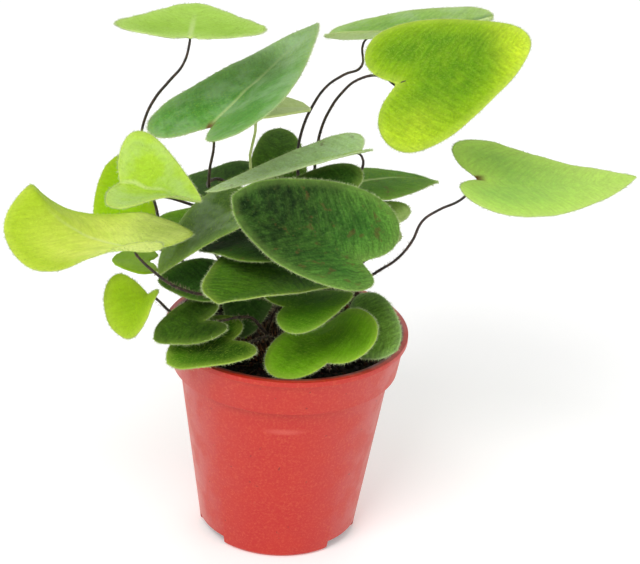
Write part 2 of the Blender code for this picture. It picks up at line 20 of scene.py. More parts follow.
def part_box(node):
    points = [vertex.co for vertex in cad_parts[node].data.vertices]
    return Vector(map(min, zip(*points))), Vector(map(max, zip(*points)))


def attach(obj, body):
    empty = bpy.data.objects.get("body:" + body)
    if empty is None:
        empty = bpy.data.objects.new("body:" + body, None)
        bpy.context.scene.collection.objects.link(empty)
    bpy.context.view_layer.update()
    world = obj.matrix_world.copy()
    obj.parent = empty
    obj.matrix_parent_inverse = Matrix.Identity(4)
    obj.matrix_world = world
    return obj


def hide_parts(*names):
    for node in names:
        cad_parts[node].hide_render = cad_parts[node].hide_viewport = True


bl_info = {
    "name": "Heart Fern in a Pot",
    "version": (1, 0, 0),
    "blender": (4, 5, 0),
    "location": "3D View > Sidebar > Heart Fern",
    "description": "Makes the leaves, stalks, pot and soil of a small potted heart fern",
    "category": "Add Mesh",
}

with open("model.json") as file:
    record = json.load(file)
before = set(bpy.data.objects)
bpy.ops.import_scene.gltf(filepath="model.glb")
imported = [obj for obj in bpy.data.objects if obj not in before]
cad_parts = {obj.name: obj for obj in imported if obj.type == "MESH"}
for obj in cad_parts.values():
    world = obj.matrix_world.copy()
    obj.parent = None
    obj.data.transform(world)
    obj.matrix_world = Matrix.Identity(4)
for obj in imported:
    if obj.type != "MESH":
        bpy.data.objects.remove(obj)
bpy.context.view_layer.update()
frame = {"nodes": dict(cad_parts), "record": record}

MM = 0.001
BODY = "root"
WELD = 0.01 * MM
ROUNDING = 1e-9

# The solid blades' wall, which pairs the points of their two faces
WALL = 0.65 * MM
WALL_SLACK = 0.008 * MM

# The photograph's width in pixels, and its camera
IMAGE_WIDTH = 640
SENSOR = 36.0
FOCAL_PIXELS = 2014.0
CAMERA_DISTANCE = 0.45
CAMERA_RISE = 25.0
CAMERA_ROLL = 3.4
CAMERA_TARGET = (0.0069, 0.0, 0.0614)

# Each soft box: its place, the length of its sides and its power in watts
LAMPS = {
    "key": ((-0.35, -0.7, 0.9), 0.6, 7.5),
    "fill": ((0.8, -0.5, 0.5), 0.8, 2.0),
    "back": ((0.1, 0.9, 0.8), 0.8, 2.0),
}
FLOOR_SIZE = 8.0

# Four colours for each blade: its middle, its outer part, its tip and its margin
TINTS = {
    "high_left": ("#94C038", "#A6CE52", "#A4CC50", "#CBE08A"),
    "tall_left": ("#4A8A2C", "#5E9A3C", "#86A868", "#A3BE82"),
    "top_back": ("#6FA034", "#84AE4A", "#94B85A", "#B9D080"),
    # top_right's dark middle is painted shade under top_back, and its bright tip is painted light
    "top_right": ("#5C8E10", "#88B016", "#CCE432", "#C8DC58"),
    "arrow_right": ("#6CB014", "#9ED034", "#A6CE4A", "#C0DC6C"),
    # far_left's pale yellow middle is a painted highlight
    "far_left": ("#D6E260", "#B2CE34", "#A6C22A", "#CCDC58"),
    "left_folded": ("#A6CC30", "#ACD03A", "#A4C830", "#C6DC66"),
    "left_narrow": ("#80B004", "#90BC08", "#90B808", "#B4CC38"),
    "low_left_bright": ("#98C41A", "#AED226", "#ACCE2A", "#C4D856"),
    # front_dark's near-black tip is painted shade, behind long_grey
    "front_dark": ("#346420", "#568430", "#0C2408", "#86A850"),
    # long_grey's pale greyish tints are partly painted sheen
    "long_grey": ("#98B87C", "#A2C084", "#B0C496", "#C0D29C"),
    "pointed_right": ("#42700F", "#56821C", "#4A7A12", "#8CAA54"),
    "right_behind": ("#7E9A4C", "#9CB468", "#8CA858", "#BCC88C"),
    "long_diagonal": ("#3C5822", "#56762E", "#64842A", "#90AC48"),
    "mid_ledge": ("#224410", "#568A1C", "#4A721A", "#A4BC4E"),
    "mid_ledge_upper": ("#102A06", "#22420C", "#284C0C", "#6C8A34"),
    "lower_centre": ("#3E6C0C", "#568616", "#4A7810", "#94B444"),
    "bottom_centre": ("#44700A", "#6A9E14", "#78AE14", "#AACA48"),
    "bottom_right": ("#507424", "#6E983E", "#7CA444", "#A8C284"),
    # low_left_dark's near-black middle is partly painted shade
    "low_left_dark": ("#122806", "#304E0E", "#446818", "#86A044"),
    # rim_left's near-black middle is painted shade, and its brighter tip and pale margin are partly
    # painted light
    "rim_left": ("#163404", "#3C640C", "#548414", "#AEC850"),
    "shaded_front": ("#1E3A10", "#2C4C16", "#2E5016", "#6C884A"),
    "upright_back": ("#34560E", "#426418", "#446818", "#7A983C"),
    "back_left": ("#28480E", "#345614", "#3A5E16", "#74923E"),
    "heart_behind": ("#1C3C0C", "#365C18", "#34581A", "#98B054"),
    # inner_left fills a gap that is only shade, so its dark tints are painted shade
    "inner_left": ("#224812", "#34601A", "#3A661C", "#80A048"),
    "left_round": ("#4E7E06", "#6A9C0A", "#6E9E10", "#94B040"),
}

# Three colours for each young frond: its two tones and its pale specks
YOUNG_TINTS = {
    "low_left_young": ("#94C008", "#A4CE10", "#BCD448"),
    "back_tip": ("#C4D480", "#D4E094", "#E6EEC0"),
}

# Blades with a brown spot at the notch, a pale midrib that is partly a painted highlight, a blunt
# tip, brown flecks, a painted greyish sheen, a painted highlight on the lobes, a paler near half
# with painted shade in its crease, painted light on the near lobe, hardly any mottle, and a deep
# green nap
NOTCH_SPOTS = ("tall_left", "far_left", "arrow_right")
PALE_AND_LIT_RIBS = ("far_left", "left_folded", "pointed_right", "tall_left", "high_left")
ROUND_TIPS = (
    "far_left", "bottom_centre", "low_left_bright", "left_folded", "top_right", "top_back")
FLECKED = ("front_dark", "mid_ledge_upper", "pointed_right", "long_grey")
GREY_SHEEN = ("tall_left", "top_back", "long_grey", "long_diagonal", "left_folded")
HIGHLIT_LOBES = ("far_left",)
PALE_HALF_SHADED_CREASE = ("top_back",)
LIT_LOBE = ("top_right",)
SMOOTH = ("far_left", "left_folded", "left_narrow", "low_left_bright", "high_left")
DEEP = (
    "front_dark", "mid_ledge", "mid_ledge_upper", "heart_behind", "shaded_front",
    "inner_left", "low_left_dark", "bottom_right", "back_left", "upright_back")

# How strongly the mottle shows on a deep green, a plain and a smooth blade
DEEP_MOTTLE = 0.85
PLAIN_MOTTLE = 0.4
SMOOTH_MOTTLE = 0.2

# Bands of a blade's pattern and of its painted light and shade, from start to full: in mm from the
# margin inwards or from the midrib, with a side negative on the near half, or along in parts of the
# midrib's length
CORE = (1.0, 7.0)
MARGIN = (0.2, 2.4)
TIP = (0.2, 1.0)
DEEP_TIP = (0.0, 0.65)
LIT_TIP = (0.6, 1.0)
LIT_SIDE = (-3.0, -11.0)
LIT_ALONG = (0.5, 0.0)
LOBE_HIGHLIGHT = (0.4, 0.0)
NEAR_HALF = (-0.4, 0.2)
# Painted shade in a crease, and its edge at the midrib
CREASE = (0.2, 3.0)
CREASE_EDGE = (-0.2, 0.1)
RIB = (0.1, 1.0)
RIB_ALONG = (0.2, 0.9)
SPOT = (0.6, 1.6)
SPOT_ALONG = (-0.02, 0.05)

# A side vein in mm: its way forwards for each mm outwards, arch, half width and fading strip
VEIN_LEAN = 0.55
VEIN_ARCH = 0.02
VEIN_WIDTH = 0.28
VEIN_START = 1.5

# A blade's relief: the midrib's groove, in mm and as its share at the notch, soft lumps, waves and
# the band in mm that they move, the band in mm where the margin thins, and how sharp a tip is
GROOVE_WIDTH = 0.55
GROOVE_START = 0.3
LUMP_PITCH = 3.2 * MM
LUMP_HEIGHT = 0.1 * MM
WAVE_PITCH = 6.5 * MM
WAVE_SHIFT = Vector((7, 3, 1))
WAVE_BAND = 4.0
THIN_BAND = 1.2
POINTED_CREASE = 0.6

# Leaf hairs: how deep in mm a margin hair is rooted, then for the nap the part of the thickness
# at which it is rooted, its share on the upper face, how far it stands up and how slim it is
FRINGE_ROOT = 0.1
NAP_ROOT = 0.42
NAP_ABOVE = 0.75
NAP_RISE = 0.22
NAP_SLIM = 0.6

# Where a stalk meets its blade: the midrib's strip in mm, and its part that gives the direction
RIB_STRIP = 0.2
RIB_AHEAD = 0.15

# A stalk's wire: its relative radius at the foot, what it loses, its unevenness, and its relative
# radius at the notch and at its end
WIRE_FOOT = 1.12
WIRE_LOSS = 0.3
WIRE_UNEVEN = (0.94, 1.06)
WIRE_NOTCH = 0.6
WIRE_END = 0.15

# The pot: its notches' angles, the rubbed streak on its front, and the bands of painted shade on
# its inner wall and along its rim's inner edge, by the distance from the axis and by the height
NOTCH_ANGLES = (91.0, 211.0, 331.0)
RUB_PLACE = (1.0 * MM, -21.0 * MM, 35.5 * MM)
RUB_SIZE = (6.0 * MM, 12.0 * MM, 1.1 * MM)
WALL_SHADE_REACH = (25.8 * MM, 25.7 * MM)
WALL_SHADE_HEIGHT = (42.8 * MM, 43.6 * MM)
RIM_SHADE_REACH = (26.8 * MM, 26.1 * MM)
RIM_SHADE_HEIGHT = (49.3 * MM, 49.7 * MM)
POT_TOP = 50.0 * MM

# The soil: the seed of its random places, where its top is rough, how far crumbs and root threads
# lie from the axis, a height above it all, the shares of peat crumbs and of large ones, and how
# much larger these are
SOIL_SEED = 45
SOIL_TOP = 43.0 * MM
SOIL_EDGE = 0.02
CRUMB_REACH = 24.0 * MM
THREAD_REACH = 21.0 * MM
THREAD_WIDTH = 0.09 * MM
ABOVE_SOIL = 60.0 * MM
PEAT_SHARE = 0.72
LARGE_SHARE = 0.1
LARGE = 1.6

# The rhizome's scales, which are spread evenly by the golden angle
SCALE_SEED = 7
SCALES = 700
GOLDEN_ANGLE = 2.399963


def whole(label, text, value):
    """A whole number that a user can change."""
    return bpy.props.IntProperty(name=label, description=text, default=value)


def amount(label, text, value, subtype="NONE"):
    """A plain number that a user can change."""
    return bpy.props.FloatProperty(name=label, description=text, default=value, subtype=subtype)


def size(label, text, millimetres):
    """A length that a user can change, with its default in millimetres."""
    return bpy.props.FloatProperty(
        name=label, description=text, default=millimetres * MM, unit="LENGTH")


class PotSettings(bpy.types.PropertyGroup):
    """The moulded pot."""

    sides: whole("Sides", "Faces around the pot", 144)
    rim_radius: size("Rim radius", "Radius of the rim's bead", 27.5)
    rim_height: size("Rim height", "Height of the rim's bead", 1.2)
    height: size("Height", "Height of the pot", 50.0)
    lip_top: size("Lip top", "Radius of the lip band under the bead", 26.8)
    lip_foot: size("Lip foot", "Radius of the lip band's lower edge", 25.6)
    lip_height: size("Lip height", "Height of the lip band", 8.8)
    step: size("Step", "Height of the step under the lip", 0.8)
    wall_top: size("Wall top", "Radius of the wall under the step", 23.9)
    foot: size("Foot", "Radius of the foot", 18.1)
    foot_round: size("Foot round", "Rounding of the foot", 0.7)
    wall: size("Wall", "Thickness of the wall", 1.1)
    floor: size("Floor", "Thickness of the floor", 1.3)
    notch_size: bpy.props.FloatVectorProperty(
        name="Notch", description="Depth, width and height of a drain notch",
        default=(9.0 * MM, 12.0 * MM, 4.6 * MM), unit="LENGTH")
    edge: size("Edge", "Rounding of the moulded edges", 0.22)


class LeafSettings(bpy.types.PropertyGroup):
    """The fine shape of the blades."""

    detail: whole("Detail", "Subdivisions of a large blade; a small one has one less", 3)
    large: size("Large", "Midrib from which a blade is large", 18.0)
    thickness: size("Thickness", "Thickness of the blade", 0.5)
    margin: amount("Margin", "Thickness left at the margin", 0.4, "FACTOR")
    groove: size("Groove", "Depth of the midrib's groove", 0.16)
    vein_pitch: size("Vein pitch", "Distance between side veins", 2.4)
    quilting: size("Quilting", "Depth of the side veins", 0.03)
    waves: size("Waves", "Height of the margin's waves", 0.26)
    fringe: size("Fringe", "Distance between margin hairs", 0.085)
    hair: size("Hair", "Length of a leaf hair", 0.8)
    hair_width: size("Hair width", "Radius of a hair's foot", 0.044)
    nap: amount("Nap", "Hairs on a square millimetre of blade", 5.0)


class StalkSettings(bpy.types.PropertyGroup):
    """The wiry stalks."""

    radius: size("Radius", "Radius of a stalk", 0.34)
    bristle: size("Bristle", "Length of a bristle", 0.7)
    bristle_width: size("Bristle width", "Radius of a bristle's foot", 0.028)
    bristles: amount("Bristles", "Bristles on a millimetre of stalk", 5.0)
    shag: amount("Shag", "How much longer the bristles are low down", 1.5)
    shag_height: size("Shag height", "Height below which the bristles are long", 72.0)
    tip: size("Tip", "How far the stalk runs on under the midrib", 3.0)


class SoilSettings(bpy.types.PropertyGroup):
    """The potting soil."""

    crumbs: whole("Crumbs", "Loose crumbs on top", 1500)
    relief: size("Relief", "Height of the fine lumps", 0.45)
    fibres: whole("Fibres", "Root threads on top", 60)


class StudioSettings(bpy.types.PropertyGroup):
    """The floor and the light."""

    floor: bpy.props.FloatVectorProperty(
        name="Floor", description="Colour of the floor", default=(0.96, 0.96, 0.96),
        subtype="COLOR")
    light: amount("Light", "Strength of the sky", 0.58)
    glow: amount("Glow", "Light of the floor itself", 0.16)


# Tools

def deselect():
    """Leaves edit mode and selects nothing."""
    if bpy.context.object is not None and bpy.context.object.mode != "OBJECT":
        bpy.ops.object.mode_set(mode="OBJECT")
    bpy.ops.object.select_all(action="DESELECT")


def activate(item):
    """Makes an object the only one selected."""
    deselect()
    item.select_set(True)
    bpy.context.view_layer.objects.active = item


def edit_whole(item, operator, **settings):
    """Runs an edit mode operator on the whole mesh of an object."""
    activate(item)
    bpy.ops.object.mode_set(mode="EDIT")
    bpy.ops.mesh.select_all(action="SELECT")
    operator(**settings)
    bpy.ops.object.mode_set(mode="OBJECT")


def apply_modifier(item, kind, **settings):
    """Adds a modifier to an object and applies it."""
    activate(item)
    modifier = item.modifiers.new(kind.lower(), kind)
    for name, value in settings.items():
        setattr(modifier, name, value)
    bpy.ops.object.modifier_apply(modifier=modifier.name)


def new_object(name, data):
    """An object at the origin with this mesh or curve."""
    item = bpy.data.objects.new(name, data)
    bpy.context.scene.collection.objects.link(item)
    return item


def added(operator, name, **settings):
    """Adds an object with nothing else selected, and names it."""
    deselect()
    operator(**settings)
    item = bpy.context.object
    item.name = name
    return item


def cad_copy(name, piece):
    """A merged copy of a node of the frame, as a new piece."""
    deselect()
    mesh = frame["nodes"][name].data.copy()
    mesh.materials.clear()
    item = new_object(piece, mesh)
    edit_whole(item, bpy.ops.mesh.remove_doubles, threshold=WELD)
    return item


def settle(item, slot, *nodes):
    """Lets a finished piece ride on the part and stand for its nodes. The slot is not used."""
    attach(item, BODY)
    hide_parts(*nodes)


def opened(mesh):
    """A mesh opened for work on its points and faces."""
    shape = bmesh.new()
    shape.from_mesh(mesh)
    shape.verts.ensure_lookup_table()
    return shape


def search_tree(places):
    """A tree that finds the nearest of these indexed places."""
    tree = kdtree.KDTree(len(places))
    for index, place in places:
        tree.insert(place, index)
    tree.balance()
    return tree


def polar(radius, turn, height):
    """A place at this distance and angle from the Z axis."""
    return Vector((radius * math.cos(turn), radius * math.sin(turn), height))


def template_of(item):
    """A primitive's points and triangles. The primitive itself is removed."""
    points = np.array([vertex.co for vertex in item.data.vertices])
    faces = np.array([face.vertices for face in item.data.polygons if len(face.vertices) == 3])
    bpy.data.objects.remove(item)
    return points, faces


def spike(sides=3):
    """The points and faces of one hair, a slim cone of unit length up the Z axis."""
    cone = added(
        bpy.ops.mesh.primitive_cone_add, "hair", vertices=sides, radius1=1.0, radius2=0.0,
        depth=1.0, end_fill_type="NOTHING", location=(0.0, 0.0, 0.5))
    bpy.ops.object.transform_apply()
    return template_of(cone)


def planted(name, template, places, material):
    """One mesh with a copy of the template at each place matrix."""
    points, faces = template
    turned = np.array([np.array(place) for place in places])
    moved = points @ turned[:, :3, :3].transpose(0, 2, 1) + turned[:, None, :3, 3]
    shifts = (np.arange(len(places)) * len(points))[:, None, None]
    mesh = bpy.data.meshes.new(name)
    mesh.from_pydata(moved.reshape(-1, 3).tolist(), [], (faces + shifts).reshape(-1, 3).tolist())
    mesh.materials.append(material)
    return new_object(name, mesh)


def any_way(draw, spread=1.0):
    """A random vector."""
    return Vector([draw.gauss(0.0, spread) for _ in range(3)])


def hair_place(root, direction, length, width, draw, bend=0.3):
    """Where one hair grows: its root, its leaning direction and its size."""
    way = (direction + any_way(draw, bend)).normalized()
    turn = way.to_track_quat("Z", "Y").to_matrix().to_4x4()
    return Matrix.Translation(root) @ turn @ Matrix.Diagonal((width, width, length, 1.0))


def join(main, *others):
    """Joins pieces into the first one."""
    deselect()
    for other in others:
        other.select_set(True)
    main.select_set(True)
    bpy.context.view_layer.objects.active = main
    bpy.ops.object.join()


# Materials

def linear(code):
    """An sRGB hex colour as a linear one, for a shader's socket."""
    values = [int(code[start:start + 2], 16) / 255.0 for start in (1, 3, 5)]
    return (*[v / 12.92 if v <= 0.04045 else ((v + 0.055) / 1.055) ** 2.4 for v in values], 1.0)


class Paint:
    """A Principled material that is painted in layers, on the piece's Object coordinates."""

    def __init__(self, name, roughness, **constants):
        self.made = bpy.data.materials.new(name)
        self.made.use_nodes = True
        self.tree = self.made.node_tree
        self.shader = self.tree.nodes["Principled BSDF"]
        self.shade("Roughness", roughness)
        for name, value in constants.items():
            self.shade(name.replace("_", " "), value)
        self.where = self.node("TexCoord", {}).outputs["Object"]
        self.colour = None

    def put(self, socket, value):
        """Links an output to a socket, or gives the socket a value or a hex colour."""
        if isinstance(value, bpy.types.NodeSocket):
            self.tree.links.new(value, socket)
        else:
            socket.default_value = linear(value) if isinstance(value, str) else value

    def shade(self, name, value):
        """Links or sets an input of the shader."""
        self.put(self.shader.inputs[name], value)

    def node(self, kind, inputs, **settings):
        """Adds a node with its settings, and links or sets its inputs."""
        new = self.tree.nodes.new(f"ShaderNode{kind}")
        for name, value in settings.items():
            setattr(new, name, value)
        for name, value in inputs.items():
            self.put(new.inputs[name], value)
        return new

    def lay(self, colour, factor, blend="MIX"):
        """Lays a colour over those below it. Sockets 6 and 7 are a Mix node's two colours."""
        self.colour = self.node(
            "Mix", {6: self.colour, 7: colour, 0: factor}, data_type="RGBA", blend_type=blend
        ).outputs[2]

    def tones(self, factor, first, second):
        """Starts with a colour between two colours."""
        self.colour = first
        self.lay(second, factor)

    def eased(self, value, low, high, out_low=0.0, out_high=1.0):
        """A value eased from one range to another."""
        inputs = {
            "Value": value, "From Min": low, "From Max": high,
            "To Min": out_low, "To Max": out_high}
        return self.node("MapRange", inputs, interpolation_type="SMOOTHSTEP").outputs["Result"]

    def grain(self, pitch, detail=3.0, roughness=0.55, vector=None):
        """Noise whose lumps are about this far apart."""
        inputs = {
            "Vector": self.where if vector is None else vector, "Scale": 1.0 / pitch,
            "Detail": detail, "Roughness": roughness}
        return self.node("TexNoise", inputs).outputs["Fac"]

    def times(self, first, second):
        """Two values multiplied."""
        return self.node("Math", {0: first, 1: second}, operation="MULTIPLY").outputs[0]

    def vector(self, operation, first, second):
        """Two vectors taken together."""
        return self.node("VectorMath", {0: first, 1: second}, operation=operation).outputs[0]

    def reach(self, vector):
        """How long a vector is."""
        return self.node("VectorMath", {0: vector}, operation="LENGTH").outputs["Value"]

    def bump(self, height, distance, strength=1.0):
        """Gives the shader a relief of this height."""
        bump = self.node("Bump", {"Height": height, "Distance": distance, "Strength": strength})
        self.shade("Normal", bump.outputs["Normal"])

    def dried(self):
        """Joins the layers to the shader and gives back the material."""
        self.shade("Base Color", self.colour)
        return self.made


def pot_plastic():
    """Injection-moulded polypropylene: a soft gloss, a faint mottle from the mould, pale scuffs,
    and painted shade inside the rim.
    """
    paint = Paint(
        "moulded polypropylene, terracotta red", 0.42, IOR=1.49, Sheen_Weight=0.22,
        Sheen_Roughness=0.35, Sheen_Tint="#F0B8A8")
    blotch = paint.eased(paint.grain(5.0 * MM), 0.35, 0.7)
    speck = paint.eased(paint.grain(0.55 * MM, 3.0, 0.8), 0.45, 0.75)
    height = paint.node("SeparateXYZ", {"Vector": paint.where}).outputs["Z"]
    paint.tones(paint.eased(height, 0.0, POT_TOP), "#B81206", "#BA1C10")
    paint.lay("#C23422", paint.times(blotch, 0.3))
    paint.lay("#E07A48", paint.times(speck, 0.3))
    # A rubbed streak on the front, and small dark scuffs
    offset = paint.vector("SUBTRACT", paint.where, RUB_PLACE)
    stretched = paint.vector("MULTIPLY", offset, [1.0 / width for width in RUB_SIZE])
    paint.lay("#D8685A", paint.eased(paint.reach(stretched), 0.2, 1.0, 0.4, 0.0))
    paint.lay("#5E1C12", paint.eased(paint.grain(1.6 * MM, 2.0), 0.71, 0.75, 0.0, 0.6))
    # Painted shade, mottled, on the inner wall above the soil
    axis_gap = paint.reach(paint.vector("MULTIPLY", paint.where, (1.0, 1.0, 0.0)))
    wall_shade = paint.times(
        paint.eased(axis_gap, *WALL_SHADE_REACH), paint.eased(height, *WALL_SHADE_HEIGHT))
    paint.lay("#2C1610", paint.times(wall_shade, paint.eased(blotch, 0.0, 0.6, 0.75, 0.95)))
    # A painted dark line of shade along the rim's inner edge
    edge = paint.times(paint.eased(axis_gap, *RIM_SHADE_REACH), paint.eased(height, *RIM_SHADE_HEIGHT))
    paint.lay("#4E1A12", paint.times(edge, 0.8))
    paint.shade("Roughness", paint.eased(blotch, 0.0, 1.0, 0.36, 0.5))
    paint.bump(paint.grain(0.6 * MM, 2.0), 0.03 * MM, 0.5)
    return paint.dried()


def soil_peat(name, dark, light):
    """Moist peat: nearly black, matt, with brown fibres."""
    paint = Paint(name, 0.9, Specular_IOR_Level=0.3)
    paint.tones(paint.eased(paint.grain(1.6 * MM, 4.0, 0.7), 0.45, 0.75), dark, light)
    paint.bump(paint.grain(0.5 * MM, 4.0, 0.7), 0.25 * MM)
    return paint.dried()


def stalk_bark():
    """A wiry stalk: nearly black brown, with a dull gloss and fine lumps."""
    paint = Paint("wiry fern stalk, black brown", 0.55)
    paint.tones(paint.eased(paint.grain(1.2 * MM), 0.4, 0.7), "#241915", "#4A332B")
    paint.bump(paint.grain(0.25 * MM), 0.05 * MM)
    return paint.dried()


def plain_hair(name, code):
    """A hair too fine to show a pattern, so that only whole tufts differ, from dim to pale."""
    paint = Paint(name, 0.6)
    dim = (*[value * 0.6 for value in linear(code)[:3]], 1.0)
    paint.tones(paint.eased(paint.grain(3.0 * MM), 0.3, 0.7), dim, code)
    return paint.dried()


def young_leaf(name, tints):
    """A young frond: soft and matt, yellow green, with pale specks."""
    paint = Paint(f"young leaf, {name.replace('_', ' ')}", 0.55, IOR=1.42, Sheen_Weight=0.2)
    tone, lighter, speck = tints
    paint.tones(paint.eased(paint.grain(2.0 * MM), 0.3, 0.7), tone, lighter)
    paint.lay(speck, paint.times(paint.eased(paint.grain(0.6 * MM), 0.4, 0.8), 0.3))
    paint.bump(paint.grain(0.35 * MM), 0.05 * MM)
    return paint.dried()


def studio_board(studio):
    """Matt white board: even and bright, with a hardly visible cloudiness."""
    paint = Paint(
        "matt white studio board", 0.9, Emission_Color=(1.0, 1.0, 1.0, 1.0),
        Emission_Strength=studio.glow)
    dim = (*[value * 0.985 for value in studio.floor], 1.0)
    paint.tones(paint.eased(paint.grain(0.5), 0.3, 0.7), dim, (*studio.floor, 1.0))
    return paint.dried()


def leaf_tissue(name, tints):
    """Leathery leaf: waxy but dulled by hairs, mottled, paler at its margin and underneath. Some
    blades also carry painted sheen, painted highlights and painted shade.
    """
    paint = Paint(
        f"leathery leaf, {name.replace('_', ' ')}", 0.65, IOR=1.4, Specular_IOR_Level=0.12,
        Sheen_Weight=0.2 if name in GREY_SHEEN else 0.02, Sheen_Roughness=0.5,
        Sheen_Tint="#DDE8C8", Subsurface_Weight=0.12, Subsurface_Scale=0.6 * MM,
        Subsurface_Radius=(0.6, 1.0, 0.2))
    core, outer, tip, margin = tints
    inward, spine, along, under, vein, flow, side = [
        paint.node("Attribute", {}, attribute_name=fact).outputs["Fac"]
        for fact in ("inward", "spine", "along", "under", "vein", "flow", "side")]
    paint.tones(paint.eased(inward, *CORE), outer, core)
    # On front_dark the dark tip colour, spread from the notch, is painted shade
    tip_band = DEEP_TIP if name in DEEP else TIP
    # Painted light: the near lobe takes the bright tip colour
    if name in LIT_LOBE:
        tip_band = LIT_TIP
        lit = paint.eased(side, *LIT_SIDE, 0.0, 0.55)
        paint.lay(tip, paint.times(lit, paint.eased(along, *LIT_ALONG)))
    paint.lay(tip, paint.eased(along, *tip_band))
    # A painted highlight on the lobes of far_left
    if name in HIGHLIT_LOBES:
        paint.lay("#F2FF8C", paint.eased(along, *LOBE_HIGHLIGHT, 0.0, 0.9))
    blotch = paint.eased(paint.grain(3.5 * MM, 3.0, 0.6), 0.3, 0.75)
    paint.lay(outer, paint.times(blotch, 0.4))
    # Streaks that follow the side veins, in millimetres of leaf
    depth = DEEP_MOTTLE if name in DEEP else PLAIN_MOTTLE
    if name in SMOOTH:
        depth = SMOOTH_MOTTLE
    drift = paint.times(paint.grain(9.0 * MM), 5.0)
    lines = paint.node(
        "CombineXYZ", {"X": flow, "Y": paint.times(spine, 0.22), "Z": drift}).outputs[0]
    streak = paint.eased(
        paint.grain(0.8, 4.0, 0.7, lines), 0.28, 0.75, 1.0 - 0.45 * depth, 1.0 + 0.5 * depth)
    fine = paint.grain(0.6 * MM, 4.0, 0.75)
    fine_mottle = paint.eased(fine, 0.3, 0.75, 1.0 - 0.28 * depth, 1.0 + 0.32 * depth)
    paint.lay(paint.times(streak, fine_mottle), 1.0, "MULTIPLY")
    paint.lay(margin, paint.eased(fine, 0.5, 0.75, 0.0, 0.14))
    if name in PALE_HALF_SHADED_CREASE:
        paint.lay("#DCECA6", paint.eased(side, *NEAR_HALF, 0.6, 0.0))
        # Painted shade in the crease beside the midrib
        crease = paint.eased(side, *CREASE, 0.8, 0.0)
        paint.lay("#3C6E18", paint.times(crease, paint.eased(side, *CREASE_EDGE)))
    # A painted greyish sheen in soft patches
    if name in GREY_SHEEN:
        paint.lay("#B9CBB2", paint.eased(paint.grain(7.0 * MM, 3.0), 0.42, 0.68, 0.0, 0.24))
    if name in FLECKED:
        paint.lay("#5A3C24", paint.eased(paint.grain(2.4 * MM, 2.0, 0.6), 0.6, 0.7, 0.0, 0.5))
    paint.lay(margin, paint.times(vein, 0.06))
    # A pale midrib, partly a painted highlight
    if name in PALE_AND_LIT_RIBS:
        rib = paint.eased(spine, *RIB, 1.0, 0.0)
        paint.lay("#DDE6A8", paint.times(rib, paint.eased(along, *RIB_ALONG, 0.4, 0.0)))
    paint.lay(margin, paint.eased(inward, *MARGIN, 0.3, 0.0))
    ragged = paint.times(inward, paint.grain(0.7 * MM, 3.0, 0.8))
    paint.lay(margin, paint.eased(ragged, 0.02, 0.24, 0.7, 0.0))
    paint.lay("#C6DC86", paint.times(under, 0.35))
    if name in NOTCH_SPOTS:
        near = paint.eased(along, *SPOT_ALONG, 1.0, 0.0)
        paint.lay("#6B3A1E", paint.times(near, paint.eased(spine, *SPOT, 1.0, 0.0)))
    paint.bump(paint.grain(0.35 * MM, 3.0, 0.65), 0.06 * MM, 0.7)
    return paint.dried()


# Blades

def middle_surface(item, stalk_end):
    """Turns a blade's closed solid into the open surface halfway between its two faces."""
    shape = opened(item.data)
    tree = search_tree([(vertex.index, vertex.co) for vertex in shape.verts])
    twins = {}
    centres = {}
    for vertex in shape.verts:
        near = tree.find_range(vertex.co, WALL + WALL_SLACK)
        across = [(abs(gap - WALL), index) for _, index, gap in near if index != vertex.index]
        if not across or min(across)[0] >= WALL_SLACK:
            raise RuntimeError(f"{item.name}: a point has no twin on the other face")
        twins[vertex.index] = min(across)[1]
        centres[vertex.index] = (vertex.co + shape.verts[twins[vertex.index]].co) / 2.0
    rim = [
        face for face in shape.faces
        if any(twins[one.index] == two.index for one in face.verts for two in face.verts)
    ]
    notch = min(shape.verts, key=lambda vertex: (centres[vertex.index] - stalk_end).length)
    top = max((notch, shape.verts[twins[notch.index]]), key=lambda v: (v.co - stalk_end).length)
    bmesh.ops.delete(shape, geom=rim, context="FACES_ONLY")
    kept = {top}
    front = [top]
    while front:
        beside = {other for face in front.pop().link_faces for other in face.verts} - kept
        kept |= beside
        front.extend(beside)
    for vertex in kept:
        vertex.co = centres[vertex.index]
    loose = [vertex for vertex in shape.verts if vertex not in kept]
    bmesh.ops.delete(shape, geom=loose, context="VERTS")
    stray = [edge for edge in shape.edges if not edge.link_faces]
    bmesh.ops.delete(shape, geom=stray, context="EDGES")
    shape.verts.index_update()
    start = top.index
    shape.to_mesh(item.data)
    shape.free()
    return start


def midrib_path(mesh, start):
    """The points from the notch to the tip, which is as far from it along either margin."""
    shape = opened(mesh)
    links = {vertex.index: [] for vertex in shape.verts}
    rim = {vertex.index: [] for vertex in shape.verts}
    for edge in shape.edges:
        one, two = (vertex.index for vertex in edge.verts)
        links[one].append((two, edge.calc_length()))
        links[two].append((one, edge.calc_length()))
        if edge.is_boundary:
            rim[one].append(two)
            rim[two].append(one)
    shape.free()
    margin = [start, rim[start][0]]
    while margin[-1] != start:
        margin.append(next(other for other in rim[margin[-1]] if other != margin[-2]))
    tip = margin[(len(margin) - 1) // 2]
    far = {start: 0.0}
    before = {}
    waiting = {start}
    while waiting:
        here = min(waiting, key=far.get)
        waiting.remove(here)
        for other, gap in links[here]:
            if far[here] + gap < far.get(other, math.inf) - ROUNDING:
                far[other] = far[here] + gap
                before[other] = here
                waiting.add(other)
    path = [tip]
    while path[-1] != start:
        path.append(before[path[-1]])
    return path[::-1]


